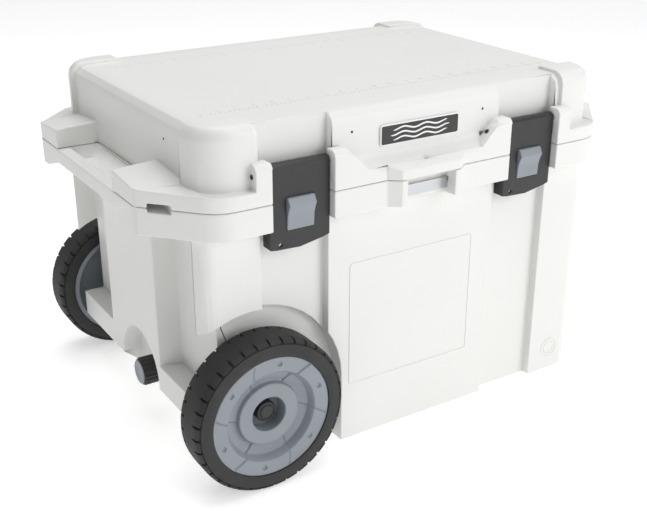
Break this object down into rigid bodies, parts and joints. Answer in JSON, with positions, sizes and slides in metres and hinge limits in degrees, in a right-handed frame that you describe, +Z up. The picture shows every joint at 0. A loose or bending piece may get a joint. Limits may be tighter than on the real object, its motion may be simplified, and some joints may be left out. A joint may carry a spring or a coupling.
{
  "type": "wheeled hard cooler",
  "caption": "Hard insulated cooler with a hinged lid, press-and-pull latches, moulded end handles, a screw drain and large wheels at one end for towing.",
  "frame": {"origin": "on the ground at the middle of the base, under the centre of the overall box", "axes": "+Z up, +X along the length away from the wheels, -Y to the front, where the latches are"},
  "size_m": [0.724, 0.53, 0.47],
  "materials": {
    "shell_white": "satin",
    "insulation": "matte",
    "latch_charcoal": "matte",
    "accent_grey": "satin",
    "black_plastic": "satin",
    "tyre_black": "matte",
    "rubber_black": "matte",
    "seal_grey": "matte",
    "steel": "satin"
  },
  "bodies": {
    "tub": {"tub_shell": "shell_white", "tub_liner": "shell_white", "tub_insulation": "insulation", "bottle_opener_plate": "steel", "hinge_pin_left": "steel", "hinge_pin_right": "steel", "foot_wheel_end_front": "rubber_black", "foot_wheel_end_rear": "rubber_black", "foot_far_end_front": "rubber_black", "foot_far_end_rear": "rubber_black", "axle_front": "steel", "axle_rear": "steel", "axle_spacer_front": "black_plastic", "axle_spacer_rear": "black_plastic", "axle_cap_front": "black_plastic", "axle_cap_rear": "black_plastic", "drain_fitting": "black_plastic", "drain_gasket": "rubber_black", "drain_nut": "black_plastic", "drain_tether": "accent_grey"},
    "lid": {"lid_shell": "shell_white", "lid_liner": "shell_white", "lid_insulation": "insulation", "lid_gasket": "seal_grey", "nameplate": "black_plastic", "latch_pin_left": "steel", "latch_pin_right": "steel"},
    "latch_left": {"latch_lever_left": "latch_charcoal", "latch_backplate_left": "latch_charcoal", "button_spring_left": "steel"},
    "latch_right": {"latch_lever_right": "latch_charcoal", "latch_backplate_right": "latch_charcoal", "button_spring_right": "steel"},
    "button_left": {"latch_button_left": "accent_grey"},
    "button_right": {"latch_button_right": "accent_grey"},
    "wheel_front": {"tyre_front": "tyre_black", "rim_front": "accent_grey", "axle_bush_front": "black_plastic"},
    "wheel_rear": {"tyre_rear": "tyre_black", "rim_rear": "accent_grey", "axle_bush_rear": "black_plastic"},
    "drain_cap": {"drain_cap": "black_plastic", "drain_cap_disc": "accent_grey"}
  },
  "joints": [
    {"name": "lid_hinge", "type": "hinge", "parent": "tub", "child": "lid", "pos_m": [0, 0.252, 0.38], "axis": [-1, 0, 0], "range_deg": [0, 100]},
    {"name": "latch_left_lift", "type": "hinge", "parent": "lid", "child": "latch_left", "pos_m": [-0.1805, -0.226, 0.405], "axis": [-1, 0, 0], "range_deg": [0, 100]},
    {"name": "button_left_press", "type": "slide", "parent": "latch_left", "child": "button_left", "axis": [0, 1, 0], "range_m": [0, 0.0035], "stiffness_N_per_m": 600, "springref_m": -0.004, "deforming": ["button_spring_left"]},
    {"name": "latch_right_lift", "type": "hinge", "parent": "lid", "child": "latch_right", "pos_m": [0.1805, -0.226, 0.405], "axis": [-1, 0, 0], "range_deg": [0, 100]},
    {"name": "button_right_press", "type": "slide", "parent": "latch_right", "child": "button_right", "axis": [0, 1, 0], "range_m": [0, 0.0035], "stiffness_N_per_m": 600, "springref_m": -0.004, "deforming": ["button_spring_right"]},
    {"name": "wheel_front_spin", "type": "hinge", "parent": "tub", "child": "wheel_front", "pos_m": [-0.24, -0.239, 0.104], "axis": [0, 1, 0], "continuous": true},
    {"name": "wheel_rear_spin", "type": "hinge", "parent": "tub", "child": "wheel_rear", "pos_m": [-0.24, 0.239, 0.104], "axis": [0, 1, 0], "continuous": true},
    {"name": "drain_cap_turn", "type": "hinge", "parent": "tub", "child": "drain_cap", "pos_m": [-0.3, -0.021, 0.075], "axis": [-1, 0, 0], "range_deg": [0, 360]}
  ]
}
